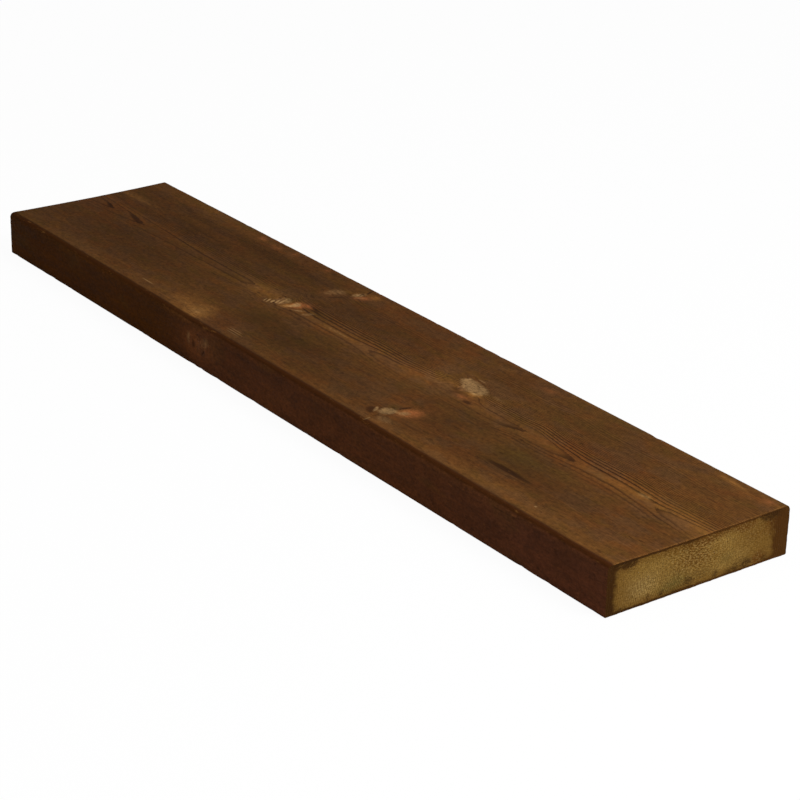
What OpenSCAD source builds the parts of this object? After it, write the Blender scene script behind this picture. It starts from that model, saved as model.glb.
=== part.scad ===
// Decking board: one length of planed and sawn softwood, lying with its walking face up.
// The origin is in the middle of the underside. X runs along the grain, Y across the board, Z up.

/* [Board] */
// Length between the two sawn ends
board_length = 600; // [60:1:6000]
// Width over the two long edges
board_width = 120; // [70:1:150]
// Thickness at the high shoulders of the walking face
board_thickness = 28; // [20:0.5:50]

/* [Moulding] */
// Radius of the two rounded arrises along the walking face
top_arris_radius = 3; // [0.5:0.25:8]
// Radius of the two lightly eased arrises along the underside
bottom_arris_radius = 1; // [0.25:0.25:4]
// Depth of the shallow hollow that runs along the walking face
hollow_depth = 0.6; // [0.2:0.1:2]

/* [Hidden] */
// Sides of an arris circle
arris_sides = 64;
// Sides of the large circle that cuts the hollow
hollow_sides = 1800;
// The hollow spans the flat between the two rounded arrises
hollow_span = board_width - 2 * top_arris_radius;
// Radius of the circle whose arc is that wide and that deep
hollow_radius = (hollow_span * hollow_span / 4 + hollow_depth * hollow_depth) / (2 * hollow_depth);
// Height of the hollow's lowest line above the underside
hollow_floor = board_thickness - hollow_depth;

// A band of the section, centred on the board's middle line, from one height to another
module band(width, low, high) {
    translate([-width / 2, low])
        square([width, high - low]);
}

// The two circles that round a pair of arrises, a radius in from each long edge
module arris_pair(radius, height) {
    for (side = [-1, 1])
        translate([side * (board_width / 2 - radius), height])
            circle(r = radius, $fn = arris_sides);
}

// The sawn blank with its four arrises rounded, before the walking face is hollowed
module rounded_blank() {
    band(board_width, bottom_arris_radius, board_thickness - top_arris_radius);
    band(board_width - 2 * bottom_arris_radius, 0, board_thickness / 2);
    band(board_width - 2 * top_arris_radius, board_thickness / 2, board_thickness);
    arris_pair(bottom_arris_radius, bottom_arris_radius);
    arris_pair(top_arris_radius, board_thickness - top_arris_radius);
}

// The section across the grain, with the hollow cut along the walking face
module moulded_section() {
    difference() {
        rounded_blank();
        translate([0, hollow_floor + hollow_radius])
            circle(r = hollow_radius, $fn = hollow_sides);
    }
}

// The whole board: its moulded section carried along the grain and sawn square at both ends
module decking_board() {
    color("saddlebrown")
        translate([-board_length / 2, 0, 0])
            rotate([90, 0, 90])
                linear_extrude(height = board_length)
                    moulded_section();
}

decking_board();
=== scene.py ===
"""Brown pressure-treated softwood decking board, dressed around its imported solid.

The board is one piece of wood. Its growth rings, its grain and its knots are worked out once, in
three dimensions, as fields over the whole board, so that the walking face, the long edges, the
underside and the sawn ends all show the same tree. The fields shape the mesh and are stored on it
as attributes, and the two finishes, one along the grain and one across it, turn them into colour.
Lengths are metres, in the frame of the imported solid: X along the grain, Y across, Z up.
"""

import logging
import math
from dataclasses import dataclass, field
from enum import Enum
from typing import Any, Iterable, Optional, Sequence, Union

import bpy
import numpy as np
from mathutils import Matrix, Vector


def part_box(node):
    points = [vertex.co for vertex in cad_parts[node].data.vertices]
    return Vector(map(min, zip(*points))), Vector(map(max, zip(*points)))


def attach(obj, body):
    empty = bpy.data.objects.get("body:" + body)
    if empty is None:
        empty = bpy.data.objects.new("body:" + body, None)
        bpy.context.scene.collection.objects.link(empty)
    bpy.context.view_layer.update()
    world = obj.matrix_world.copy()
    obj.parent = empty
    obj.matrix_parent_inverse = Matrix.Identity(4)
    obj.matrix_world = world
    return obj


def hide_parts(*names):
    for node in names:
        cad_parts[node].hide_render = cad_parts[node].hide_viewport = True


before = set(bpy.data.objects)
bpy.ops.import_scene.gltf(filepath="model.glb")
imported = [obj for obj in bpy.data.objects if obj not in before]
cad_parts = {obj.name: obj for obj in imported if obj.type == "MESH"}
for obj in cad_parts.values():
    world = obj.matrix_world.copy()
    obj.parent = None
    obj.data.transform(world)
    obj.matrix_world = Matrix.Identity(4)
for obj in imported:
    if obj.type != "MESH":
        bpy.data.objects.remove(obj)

MM = 0.001
LOG = logging.getLogger("decking_board")
Array = np.ndarray
Colour = tuple[float, float, float, float]


def screen(red: int, green: int, blue: int) -> Colour:
    """Linear colour of a colour as a screen shows it, with each channel from 0 to 255.

    Args:
        red: Red channel.
        green: Green channel.
        blue: Blue channel.

    Returns:
        The linear colour, with an alpha of 1.
    """
    shares = (channel / 255 for channel in (red, green, blue))
    linear = (c / 12.92 if c <= 0.04045 else ((c + 0.055) / 1.055) ** 2.4 for c in shares)
    return (*linear, 1.0)


def smooth_step(low: float, high: float, value: Array) -> Array:
    """Cubic step of the values from 0 at low to 1 at high: 3 t squared less 2 t cubed."""
    t = np.clip((value - low) / (high - low), 0.0, 1.0)
    return t * t * (3.0 - 2.0 * t)


class SmoothNoise:
    """Seeded value noise on a repeating lattice, smoothed between its points by a quintic step."""

    SIDE = 32

    def __init__(self, seed: int) -> None:
        """Fills the lattice with random numbers drawn from the seed."""
        self.lattice = np.random.default_rng(seed).uniform(-1.0, 1.0, (self.SIDE,) * 3)

    def at(self, points: Array, cell: Sequence[float], octaves: int = 3) -> Array:
        """Sums octaves of lattice noise, each with half the cell and half the strength of the last.

        Args:
            points: Points in space, as rows of three.
            cell: Size of a cell of the first octave, along each axis.
            octaves: Number of octaves.

        Returns:
            One value a point, mostly from -1 to 1.
        """
        total = np.zeros(len(points))
        weight = 1.0
        scaled = points / np.asarray(cell)
        for octave in range(octaves):
            total += weight * self._layer(scaled * 2**octave + 7.3 * octave)
            weight *= 0.5
        return total / (2.0 - 2.0 * weight)

    def _layer(self, scaled: Array) -> Array:
        """Blends the eight lattice values round each point, with weights 6t^5 - 15t^4 + 10t^3.

        Args:
            scaled: Points in cells.

        Returns:
            One value a point, from -1 to 1.
        """
        whole = np.floor(scaled).astype(int)
        t = scaled - whole
        t = t * t * t * (t * (t * 6.0 - 15.0) + 10.0)
        value = np.zeros(len(scaled))
        for corner in np.ndindex(2, 2, 2):
            share = np.prod(np.where(corner, t, 1.0 - t), axis=1)
            i, j, k = ((whole + corner) % self.SIDE).T
            value += share * self.lattice[i, j, k]
        return value


@dataclass(frozen=True)
class Section:
    """The board's section across the grain, as moulded: four arrises and a hollow walking face."""

    width: float
    thickness: float
    top_radius: float = 3 * MM
    bottom_radius: float = 1 * MM
    hollow: float = 0.6 * MM
    face_points: int = 90
    edge_points: int = 18
    arc_points: int = 3

    @property
    def hollow_half(self) -> float:
        """Half the width of the hollow, which spans the flat between the upper arrises."""
        return self.width / 2 - self.top_radius

    def arc(self, side: int, radius: float, height: float, start: float, stop: float) -> Array:
        """Part of an arris: a circle of the radius, tangent to the long edge on that side.

        Args:
            side: 1 for the +Y side and -1 for the -Y side.
            radius: Radius of the arris.
            height: Height of the circle's centre.
            start: First angle above the outward horizontal, in degrees.
            stop: Last angle, in degrees.

        Returns:
            Points (y, z), both ends included.
        """
        angle = np.radians(np.linspace(start, stop, self.arc_points))
        y = side * (self.width / 2 - radius + radius * np.cos(angle))
        return np.stack([y, height + radius * np.sin(angle)], axis=1)

    def walking_height(self, y: Array) -> Array:
        """Height of the hollow: thickness less the depth times one less the square of y's share."""
        share = np.clip(y / self.hollow_half, -1.0, 1.0)
        return self.thickness - self.hollow * (1.0 - share**2)

    def top_curve(self) -> Array:
        """The walking face from +Y to -Y, with the upper half of both upper arrises.

        Returns:
            Points (y, z).
        """
        centre = self.thickness - self.top_radius
        right = self.arc(1, self.top_radius, centre, 45, 90)
        left = self.arc(-1, self.top_radius, centre, 90, 45)
        y = np.linspace(self.hollow_half, -self.hollow_half, self.face_points)[1:-1]
        face = np.stack([y, self.walking_height(y)], axis=1)
        return np.concatenate([right, face, left])

    def bottom_curve(self) -> Array:
        """The underside from +Y to -Y, with the lower half of both lower arrises.

        Returns:
            Points (y, z).
        """
        right = self.arc(1, self.bottom_radius, self.bottom_radius, -45, -90)
        left = self.arc(-1, self.bottom_radius, self.bottom_radius, -90, -45)
        half = self.width / 2 - self.bottom_radius
        y = np.linspace(half, -half, self.face_points)[1:-1]
        face = np.stack([y, np.zeros_like(y)], axis=1)
        return np.concatenate([right, face, left])

    def edge_curve(self, side: int) -> Array:
        """One long edge from the underside up, with the other halves of its two arrises.

        Args:
            side: 1 for the +Y side and -1 for the -Y side.

        Returns:
            Points (y, z).
        """
        centre = self.thickness - self.top_radius
        low = self.arc(side, self.bottom_radius, self.bottom_radius, -45, 0)
        high = self.arc(side, self.top_radius, centre, 0, 45)
        z = np.linspace(self.bottom_radius, centre, self.edge_points)[1:-1]
        face = np.stack([np.full_like(z, side * self.width / 2), z], axis=1)
        return np.concatenate([low, face, high])

    def outline(self) -> Array:
        """The whole outline as a ring, anticlockwise seen from +X.

        Returns:
            Points (y, z), each once.
        """
        bottom = self.bottom_curve()[::-1]
        right = self.edge_curve(1)
        top = self.top_curve()
        left = self.edge_curve(-1)[::-1]
        return np.concatenate([bottom[:-1], right[:-1], top[:-1], left[:-1]])

    def patch(self) -> Array:
        """The section's face as a grid, by blending its four curves (a Coons patch).

        The point at shares (u, v) is the blend of the left and right curves by u, plus the blend
        of the bottom and top curves by v, less the blend of the four corners by both.

        Returns:
            Points (y, z) as an array of rows up by columns across, from -Y to +Y.
        """
        bottom, top = self.bottom_curve()[::-1], self.top_curve()[::-1]
        left, right = self.edge_curve(-1), self.edge_curve(1)
        u = np.linspace(0, 1, len(bottom))[None, :, None]
        v = np.linspace(0, 1, len(left))[:, None, None]
        across = (1 - u) * left[:, None] + u * right[:, None]
        up = (1 - v) * bottom[None] + v * top[None]
        low = (1 - u) * bottom[0] + u * bottom[-1]
        high = (1 - u) * top[0] + u * top[-1]
        return across + up - (1 - v) * low - v * high


@dataclass(frozen=True)
class Knot:
    """A branch that grew out from the pith: a cone that the saw and the planer cut through.

    The places are on the board, in millimetres: x from the far end, y across from the middle. The
    radius grows evenly from the root, at the pith, to the tip, and lift is how far the rings are
    pushed outwards beside it. Pale is how far its wood leans to cream.
    """

    name: str
    pith_x: float
    tip_x: float
    tip_y: float
    tip_z: float
    root_radius: float
    tip_radius: float
    lift: float
    pale: float


KNOTS = (
    Knot("middle", 222, 229.5, 3.4, 28, 4.0, 6.4, 4.0, 0.35),
    Knot("back edge", 229, 247, 47, 24.3, 1.0, 4.2, 2.0, 0.5),
    Knot("front edge", 228, 235, -60, 15, 2.5, 6.5, 3.0, 0.1),
    Knot("cream", 389, 395.2, 18.6, 28, 3.0, 6.4, 3.5, 0.35),
    Knot("pale front", 391, 396, -40.8, 24.5, 0.8, 4.8, 2.5, 0.8),
)


@dataclass(frozen=True)
class Tree:
    """The growth of the tree inside the board: where the pith runs and how the rings lie."""

    length: float
    walking_height: float
    # Radii in millimetres, and how many rings have grown inside each: wide while the tree was
    # young, one thin year, then even and narrower
    growth: tuple[tuple[float, float], ...] = ((0, 0), (14.4, 8), (15.35, 9), (90, 70))
    # Where the pith runs: millimetres along the board, across it, and under its walking face. A
    # ring closes to a flame on the walking face where the depth passes the ring's radius.
    stations: tuple[tuple[float, float, float], ...] = (
        (0, 2.9, 7.6), (27, 2.6, 8.95), (66, 2.8, 10.8), (100, 2.85, 11.53), (130, 2.4, 11.85),
        (165, 2.2, 12.0), (191, 2.3, 12.05), (203, 2.4, 12.9), (225, 2.6, 13.4), (237, 2.4, 13.7),
        (246, 2.2, 14.6), (265, 1.6, 14.8), (300, 1.5, 14.85), (317, 1.6, 14.5),
        (330, 0.6, 13.85), (345, -0.2, 13.6), (360, 0.4, 12.9), (385, 2.0, 12.5),
        (400, 2.6, 12.1), (415, 2.8, 11.9), (430, 2.8, 11.9), (444, 3.2, 12.1),
        (458, 5.4, 12.62), (480, 3.2, 13.6), (501, 3.1, 14.42), (510, 3.4, 14.6),
        (535, 4.0, 14.65), (564, 1.6, 14.5), (573, 1.4, 13.9), (583, 1.2, 13.7), (600, 0.8, 13.0),
    )
    # How many millimetres of its line the pith's moving average takes in, an odd number
    smoothing: int = 15
    # The distances from the pith over which the tree matures. Its rings are nearly round within
    # them, and beyond them they are oval by a share, stray further and vary from year to year.
    maturing: tuple[float, float] = (13 * MM, 24 * MM)
    ovality: float = 0.03
    young_wander: float = 0.15 * MM
    old_wander: float = 0.9 * MM
    # How little the way along the grain counts beside the way across, where a knot lifts the rings
    # and where it turns the grain, and how ragged its outline is
    lift_along: float = 0.55
    turn_along: float = 0.7
    ragged: float = 0.16
    noise: SmoothNoise = field(default_factory=lambda: SmoothNoise(11))

    def pith(self, x: Array) -> tuple[Array, Array]:
        """Where the pith is at each place along the board.

        It is drawn through its stations by lines smoothed with a short moving average.

        Args:
            x: Places along the board's X axis.

        Returns:
            The pith's y and z.
        """
        spare = 20
        along = np.arange(-spare, round(self.length / MM) + spare + 1)
        place = (x + self.length / 2) / MM
        stations = np.array(self.stations).T
        window = np.hanning(self.smoothing)
        drawn = []
        for values in stations[1:]:
            line = np.pad(np.interp(along, stations[0], values), self.smoothing // 2, mode="edge")
            line = np.convolve(line, window / window.sum(), mode="valid")
            drawn.append(MM * np.interp(place, along, line))
        return drawn[0], self.walking_height - drawn[1]

    def root(self, knot: Knot) -> Array:
        """Where a knot's branch starts.

        Args:
            knot: The knot.

        Returns:
            A point on the pith.
        """
        x = np.array([knot.pith_x * MM - self.length / 2])
        y, z = self.pith(x)
        return np.array([x[0], y[0], z[0]])

    def knot_frame(self, knot: Knot) -> tuple[Array, Array, Array, Array, float]:
        """A knot's own axes.

        Args:
            knot: The knot.

        Returns:
            Its root, its direction, the grain's direction square to it, the third direction, and
            the distance from the root to its tip.
        """
        root = self.root(knot)
        tip = np.array([knot.tip_x * MM - self.length / 2, knot.tip_y * MM, knot.tip_z * MM])
        reach = float(np.linalg.norm(tip - root))
        out = (tip - root) / reach
        grain = np.array([1.0, 0.0, 0.0]) - out[0] * out
        grain /= np.linalg.norm(grain)
        return root, out, grain, np.cross(out, grain), reach


@dataclass
class WoodFields:
    """What the wood is at each point of the board's surface, one value a point.

    The rings are counted out from the pith, and grain is the place drawn along the grain. The
    others are of the nearest knot: the distance to its outline, less than 0 inside it, the place
    along its own axes, and how pale it is.
    """

    rings: Array
    grain: Array
    knot_gap: Array
    knot_place: Array
    knot_pale: Array


def grow(tree: Tree, points: Array) -> WoodFields:
    """Works out the rings, the run of the grain and the knots at points in the board.

    The ring count is drawn through the tree's table of growth at the distance from the pith, plus
    two slow sines of that distance for wide and narrow years. Near a knot the rings are lifted
    outwards by an amount that falls off as a bell curve of the distance from the branch.
    The grain runs round a branch as a stream runs round a post: the distance across, q, becomes
    q times one less the branch's radius squared over the distance squared.

    Args:
        tree: How the tree grew.
        points: Points in the board's frame, as rows of three.

    Returns:
        The fields at those points.
    """
    pith_y, pith_z = tree.pith(points[:, 0])
    y, z = points[:, 1] - pith_y, points[:, 2] - pith_z
    distance = np.hypot(y, z)
    wander = tree.noise.at(points, (150 * MM, 22 * MM, 22 * MM), 2)
    outer = smooth_step(*tree.maturing, distance)
    oval = 1 + tree.ovality * outer * np.sin(2 * np.arctan2(z, y))
    distance = distance * oval + (tree.young_wander + tree.old_wander * outer) * wander
    grain = points.copy()
    gap = np.full(len(points), 1.0)
    place = np.ones((len(points), 3))
    pale = np.zeros(len(points))
    for knot in KNOTS:
        root, out, along, across, reach = tree.knot_frame(knot)
        offset = points - root
        a = offset @ out
        p, q = offset @ along, offset @ across
        # The branch widens from its root to its tip and closes just past it
        share = np.clip(a / reach, 0.0, 1.3)
        radius = MM * (knot.root_radius + (knot.tip_radius - knot.root_radius) * share)
        radius *= 1.0 - 0.9 * smooth_step(0.97, 1.14, share)
        ragged = 1 + tree.ragged * tree.noise.at(points + knot.pith_x * MM, (8 * MM,) * 3, 2)
        spread = np.hypot(tree.lift_along * p, q)
        before = smooth_step(-2 * MM, 2 * MM, a)
        bell = np.exp(-((np.maximum(spread - radius, 0) / (0.5 * radius + 2.2 * MM)) ** 2))
        distance = distance - before * knot.lift * MM * bell
        away = np.maximum(np.hypot(tree.turn_along * p, q), 0.1 * MM)
        turned = np.minimum(1.0, (radius / away) ** 2)
        grain = grain - (before * q * turned)[:, None] * across
        this_gap = np.where(a > -radius, np.hypot(p, q) * ragged - radius * before, 1.0)
        nearer = this_gap < gap
        gap = np.where(nearer, this_gap, gap)
        place[nearer] = np.stack([p, q, a], axis=1)[nearer]
        pale = np.where(nearer, knot.pale * smooth_step(0.5, 0.95, share), pale)
    years = 0.5 * np.sin(distance / (4.3 * MM)) + 0.35 * np.sin(distance / (1.9 * MM) + 1.0)
    rings = np.interp(distance / MM, *zip(*tree.growth)) + outer * years
    return WoodFields(rings, grain, gap, place, pale)


class Tint(Enum):
    """What a patch of the wood leans to."""

    AMBER = "amber"
    CREAM = "cream"
    SHADE = "shade"
    RUST = "rust"
    OLIVE = "olive"
    DEEP = "deep"
    FAIR = "fair"
    PLAIN = "plain"


@dataclass(frozen=True)
class Patch:
    """A patch of another tone: an oval with a soft or a crisp rim, turned on its centre.

    On the skin, across is the girth: the way round the section from the middle of the walking
    face, towards +Y. On a sawn end, along is Y and across is the height. Both are in millimetres,
    and along the skin they are counted from the far end.
    """

    tint: Tint
    along: float
    across: float
    long: float
    wide: float
    strength: float
    crisp: float = 0.0
    turn: float = 0.0

    def mask(self, along: Array, across: Array, sway: Array) -> Array:
        """How much of the patch is at each place.

        The squared share of the way out to the rim is the sum of the squared shares along and
        across. A soft patch is a bell of it, a crisp one a smooth step of its root. Small patches
        are swayed less than large ones.

        Args:
            along: Places along, in millimetres.
            across: Places across, in millimetres.
            sway: How far a large patch's rim strays along and across, in millimetres.

        Returns:
            Values from 0 to the patch's strength.
        """
        cosine, sine = math.cos(math.radians(self.turn)), math.sin(math.radians(self.turn))
        loose = min(1.0, 0.05 + self.wide / 16.0)
        s, t = along - self.along + loose * sway[0], across - self.across + loose * sway[1]
        squared = ((s * cosine + t * sine) / self.long) ** 2 + ((t * cosine - s * sine) / self.wide) ** 2
        bell = np.exp(-1.4 * squared)
        step = 1.0 - smooth_step(0.55, 1.15, np.sqrt(squared))
        return self.strength * (bell * (1.0 - self.crisp) + step * self.crisp)


SKIN_PATCHES = (
    # Slow changes of tone over the walking face
    Patch(Tint.FAIR, 70, 53, 90, 7, 0.35),
    Patch(Tint.FAIR, 588, 52, 34, 8, 0.1),
    Patch(Tint.FAIR, 345, 3, 50, 8, 0.26),
    Patch(Tint.FAIR, 430, 3, 40, 7, 0.1),
    Patch(Tint.FAIR, 565, 5, 60, 8, 0.5),
    Patch(Tint.FAIR, 378, 13.5, 28, 15, 0.65),
    Patch(Tint.FAIR, 372, 15, 18, 8, 0.15),
    Patch(Tint.FAIR, 418, 14, 20, 9, 0.2),
    Patch(Tint.FAIR, 205, 2, 46, 8, 0.2),
    Patch(Tint.FAIR, 582, 7, 20, 8, 0.35),
    Patch(Tint.FAIR, 222, -52, 22, 6, 0.2),
    Patch(Tint.FAIR, 225, -76, 24, 10, 0.15),
    Patch(Tint.FAIR, 320, -75, 80, 12, 0.08),
    Patch(Tint.FAIR, 240, 41, 17, 14, 0.22),
    Patch(Tint.FAIR, 232, 4, 16, 10, 0.25),
    Patch(Tint.OLIVE, 575, 14, 36, 14, 0.35),
    Patch(Tint.FAIR, 378, -32, 18, 9, 0.15),
    Patch(Tint.FAIR, 18, 28, 26, 6, 0.15),
    Patch(Tint.FAIR, 233, -71, 18, 9, 0.4),
    Patch(Tint.DEEP, 95, 8, 62, 44, 0.06),
    Patch(Tint.DEEP, 20, 1, 34, 6, 0.12),
    Patch(Tint.DEEP, 90, 1, 100, 6, 0.14),
    Patch(Tint.DEEP, 175, 1, 16, 5, 0.12),
    Patch(Tint.DEEP, 395, 0, 50, 5, 0.1),
    Patch(Tint.DEEP, 565, 1, 40, 5, 0.12),
    Patch(Tint.DEEP, 110, 17, 90, 12, 0.15),
    Patch(Tint.DEEP, 160, 39, 190, 7, 0.26),
    Patch(Tint.DEEP, 100, 27, 65, 7, 0.2),
    Patch(Tint.DEEP, 275, 27, 50, 9, 0.16),
    Patch(Tint.DEEP, 262, 12, 24, 6, 0.12),
    Patch(Tint.DEEP, 480, 33, 36, 10, 0.1),
    Patch(Tint.DEEP, 470, -8, 70, 8, 0.13),
    Patch(Tint.DEEP, 322, 30, 34, 9, 0.15),
    Patch(Tint.DEEP, 100, -22, 75, 18, 0.25),
    Patch(Tint.DEEP, 200, 28, 90, 16, 0.12),
    Patch(Tint.DEEP, 285, -28, 80, 18, 0.35),
    Patch(Tint.DEEP, 430, -42, 120, 13, 0.2),
    Patch(Tint.DEEP, 425, -20, 24, 16, 0.33),
    Patch(Tint.DEEP, 500, -26, 60, 15, 0.3),
    Patch(Tint.DEEP, 325, -48, 26, 9, 0.19),
    Patch(Tint.DEEP, 120, -52, 25, 6, 0.1),
    # The golden band beside the front arris
    Patch(Tint.AMBER, 110, -54, 120, 8, 0.12),
    Patch(Tint.AMBER, 480, -52, 150, 10, 0.16),
    Patch(Tint.AMBER, 206, -47, 24, 13, 0.4, 0.2),
    Patch(Tint.AMBER, 218, -48, 10, 13, 0.35, 1.0),
    Patch(Tint.CREAM, 216, -49, 11, 9, 0.3),
    Patch(Tint.RUST, 241, -47, 11, 12, 0.25, 0.4),
    Patch(Tint.DEEP, 240, -48, 10, 12, 0.35, 0.5),
    # Where the ring lines hardly show
    Patch(Tint.PLAIN, 210, 3, 13, 9, 0.75, 0.3),
    Patch(Tint.PLAIN, 388, 4, 20, 9, 0.85, 0.3),
    Patch(Tint.PLAIN, 415, -4, 20, 4, 0.4),
    Patch(Tint.PLAIN, 280, -6, 40, 4, 0.5),
    Patch(Tint.PLAIN, 286, 5, 34, 6, 0.36),
    Patch(Tint.PLAIN, 525, -6, 36, 4, 0.5),
    # Along the middle
    Patch(Tint.FAIR, 285, 2, 44, 5, 0.35),
    Patch(Tint.FAIR, 210, 4, 20, 10, 0.4),
    Patch(Tint.FAIR, 95, -50, 110, 9, 0.12),
    # Round the middle knot
    Patch(Tint.AMBER, 206, 4, 14, 10, 0.15),
    Patch(Tint.OLIVE, 230, 6.6, 6.0, 4.4, 0.7, 0.2, -36),
    Patch(Tint.CREAM, 229.6, 5.6, 5.6, 3.8, 0.45, 0.3, -36),
    Patch(Tint.CREAM, 220.9, -4.6, 3.6, 0.7, 0.75, 0.4, 118),
    Patch(Tint.CREAM, 223.1, -3.6, 3.8, 0.7, 0.85, 0.4, 118),
    Patch(Tint.CREAM, 225.3, -2.2, 4.0, 0.8, 0.9, 0.4, 118),
    Patch(Tint.CREAM, 227.3, -0.2, 4.0, 0.8, 0.9, 0.4, 118),
    Patch(Tint.CREAM, 229.2, 1.4, 3.6, 0.8, 0.8, 0.4, 118),
    Patch(Tint.AMBER, 237.4, 1.6, 6.4, 3.0, 0.8, 0.2, 58),
    Patch(Tint.CREAM, 236.6, 0.2, 5.8, 1.5, 0.36, 0.3, 58),
    Patch(Tint.CREAM, 238.6, 2.8, 3.2, 2.4, 0.5, 0.2, 58),
    Patch(Tint.RUST, 239.8, 6.0, 5.4, 5.2, 0.95, 0.3, 52),
    Patch(Tint.AMBER, 239.2, 5.8, 4.0, 4.2, 0.6, 0.3, 52),
    Patch(Tint.CREAM, 238.7, 6.2, 3.3, 4.2, 0.82, 0.3, 52),
    Patch(Tint.RUST, 243.0, 10.0, 4.0, 3.0, 0.5),
    Patch(Tint.RUST, 246.4, 10.4, 4, 2.5, 0.6),
    Patch(Tint.CREAM, 246.8, 1.6, 6.4, 1.1, 0.55, 0.4, 38),
    Patch(Tint.CREAM, 255.5, 3.2, 6.5, 3, 0.4, 0.0, 60),
    Patch(Tint.SHADE, 252, 10.6, 10, 1.6, 0.75, 0.3, -17),
    Patch(Tint.SHADE, 244.3, -1.8, 2.0, 1.3, 0.85, 0.4),
    Patch(Tint.SHADE, 232, -4.6, 5.0, 1.2, 0.6, 0.3, -20),
    Patch(Tint.SHADE, 223, 8.0, 4.5, 0.9, 0.75, 0.4, 40),
    Patch(Tint.SHADE, 233, 21.6, 4.5, 1.2, 0.65, 0.3, -8),
    Patch(Tint.SHADE, 259, -5, 3.5, 2, 0.6),
    Patch(Tint.CREAM, 286, 2, 24, 2.2, 0.3),
    Patch(Tint.SHADE, 246, -24, 24, 16, 0.35),
    # Round the knot by the back arris
    Patch(Tint.FAIR, 235.0, 37.0, 10.5, 6.5, 0.34, 0.8, 60),
    Patch(Tint.CREAM, 235.0, 37.0, 9.5, 6.0, 0.3, 0.7, 60),
    Patch(Tint.FAIR, 235.0, 37.0, 9.0, 6.0, 0.1),
    Patch(Tint.CREAM, 246.4, 46.8, 5.6, 3.6, 0.52, 0.3, 60),
    Patch(Tint.RUST, 252.0, 44.6, 6.6, 3.8, 0.8, 0.2, 50),
    Patch(Tint.CREAM, 251.4, 43.6, 4.4, 1.3, 0.5, 0.2, 50),
    Patch(Tint.AMBER, 256, 51, 5, 4, 0.4),
    Patch(Tint.SHADE, 242.7, 34.2, 9.5, 1.3, 0.75, 0.3, 61),
    Patch(Tint.SHADE, 246.8, 47.6, 3.4, 0.7, 0.8, 0.5, 104),
    Patch(Tint.SHADE, 247.2, 54.0, 4.4, 1.2, 0.85, 0.5, 112),
    Patch(Tint.SHADE, 228, 47.5, 8, 3, 0.35),
    # Round the cream knot
    Patch(Tint.CREAM, 394.8, 18.9, 14.6, 6.9, 0.62, 0.8, -8),
    Patch(Tint.DEEP, 394.8, 18.9, 14.6, 6.9, 0.35, 0.9, -8),
    Patch(Tint.CREAM, 403.5, 19.5, 5.0, 3.4, 0.2, 0.3, -60),
    Patch(Tint.SHADE, 401.5, 25.6, 4.0, 0.7, 0.5, 0.3, 104),
    Patch(Tint.SHADE, 404.5, 25.0, 4.0, 0.7, 0.45, 0.3, 104),
    Patch(Tint.SHADE, 391.0, 8.6, 7.5, 1.8, 0.45, 0.2, -8),
    Patch(Tint.CREAM, 417.0, 19.5, 10.0, 2.6, 0.3),
    Patch(Tint.CREAM, 385.4, 22.6, 4.6, 0.9, 0.5, 0.4, 70),
    Patch(Tint.CREAM, 391.5, 27.6, 5.5, 0.9, 0.4, 0.4, -8),
    Patch(Tint.AMBER, 404.3, 13.4, 5.0, 2.8, 0.7, 0.2, 20),
    Patch(Tint.CREAM, 404.3, 13.4, 4.0, 1.8, 0.4, 0.4, 20),
    Patch(Tint.SHADE, 391.5, 11.0, 3.2, 2.4, 0.6, 0.2),
    Patch(Tint.SHADE, 395, 6.0, 8, 2.0, 0.55, 0.2, 27),
    Patch(Tint.RUST, 402, 4.8, 5.4, 2.6, 0.42),
    Patch(Tint.SHADE, 409.4, 3.2, 4.4, 2.2, 0.9, 0.4),
    Patch(Tint.SHADE, 418, 5.3, 9, 0.9, 0.6, 0.3, -6),
    # Round the pale knot by the front arris
    Patch(Tint.SHADE, 399, -14, 5, 13, 0.4),
    Patch(Tint.OLIVE, 394, -34.6, 4.5, 3.2, 0.7),
    Patch(Tint.SHADE, 394.4, -35.0, 3.4, 1.3, 0.6, 0.3, -20),
    Patch(Tint.SHADE, 398, -30.4, 5.2, 1.3, 0.9, 0.4, 65),
    Patch(Tint.SHADE, 388.4, -46.4, 4.6, 3.6, 0.75, 0.3, -40),
    Patch(Tint.SHADE, 391.6, -48.6, 2.2, 1.6, 0.7, 0.4),
    Patch(Tint.CREAM, 396, -40.6, 6.0, 5.2, 0.95, 0.5, 48),
    Patch(Tint.CREAM, 390.3, -44.2, 4.0, 1.1, 1.0, 0.6, -53),
    Patch(Tint.RUST, 405.6, -32.4, 9.0, 6.6, 0.95, 0.3, 56),
    Patch(Tint.AMBER, 404.6, -33.8, 6.4, 5.2, 0.95, 0.3, 56),
    Patch(Tint.CREAM, 403.8, -35.0, 4.6, 3.6, 0.6, 0.2, 56),
    Patch(Tint.CREAM, 404, -48.5, 9, 4.5, 0.38),
    Patch(Tint.FAIR, 405, -49, 8, 7.0, 0.12),
    Patch(Tint.SHADE, 420, -42.6, 17, 1.5, 0.55, 0.0, 4),
    # The dark fills of the flames
    Patch(Tint.SHADE, 52, 4, 14, 1.9, 0.85, 0.4, -14),
    Patch(Tint.SHADE, 20, 3.8, 6.5, 1.6, 0.85, 0.4, -14),
    Patch(Tint.SHADE, 448, 2.8, 10.5, 1.9, 0.72, 0.4, 14),
    Patch(Tint.SHADE, 493.5, 3.2, 7.0, 2.6, 0.5, 0.4),
    Patch(Tint.SHADE, 498.5, 2.8, 1.8, 2.8, 0.6, 0.4),
    # Towards the near end
    Patch(Tint.OLIVE, 551, 6, 9, 5, 0.25),
    Patch(Tint.CREAM, 551, 6, 8, 4, 0.3),
    Patch(Tint.FAIR, 528, 3, 24, 4, 0.2),
    Patch(Tint.OLIVE, 530, 3, 34, 5, 0.22),
    Patch(Tint.SHADE, 491, -33, 24, 2.2, 0.95, 0.3),
    Patch(Tint.SHADE, 488, -33.6, 9, 2.6, 0.5),
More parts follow.
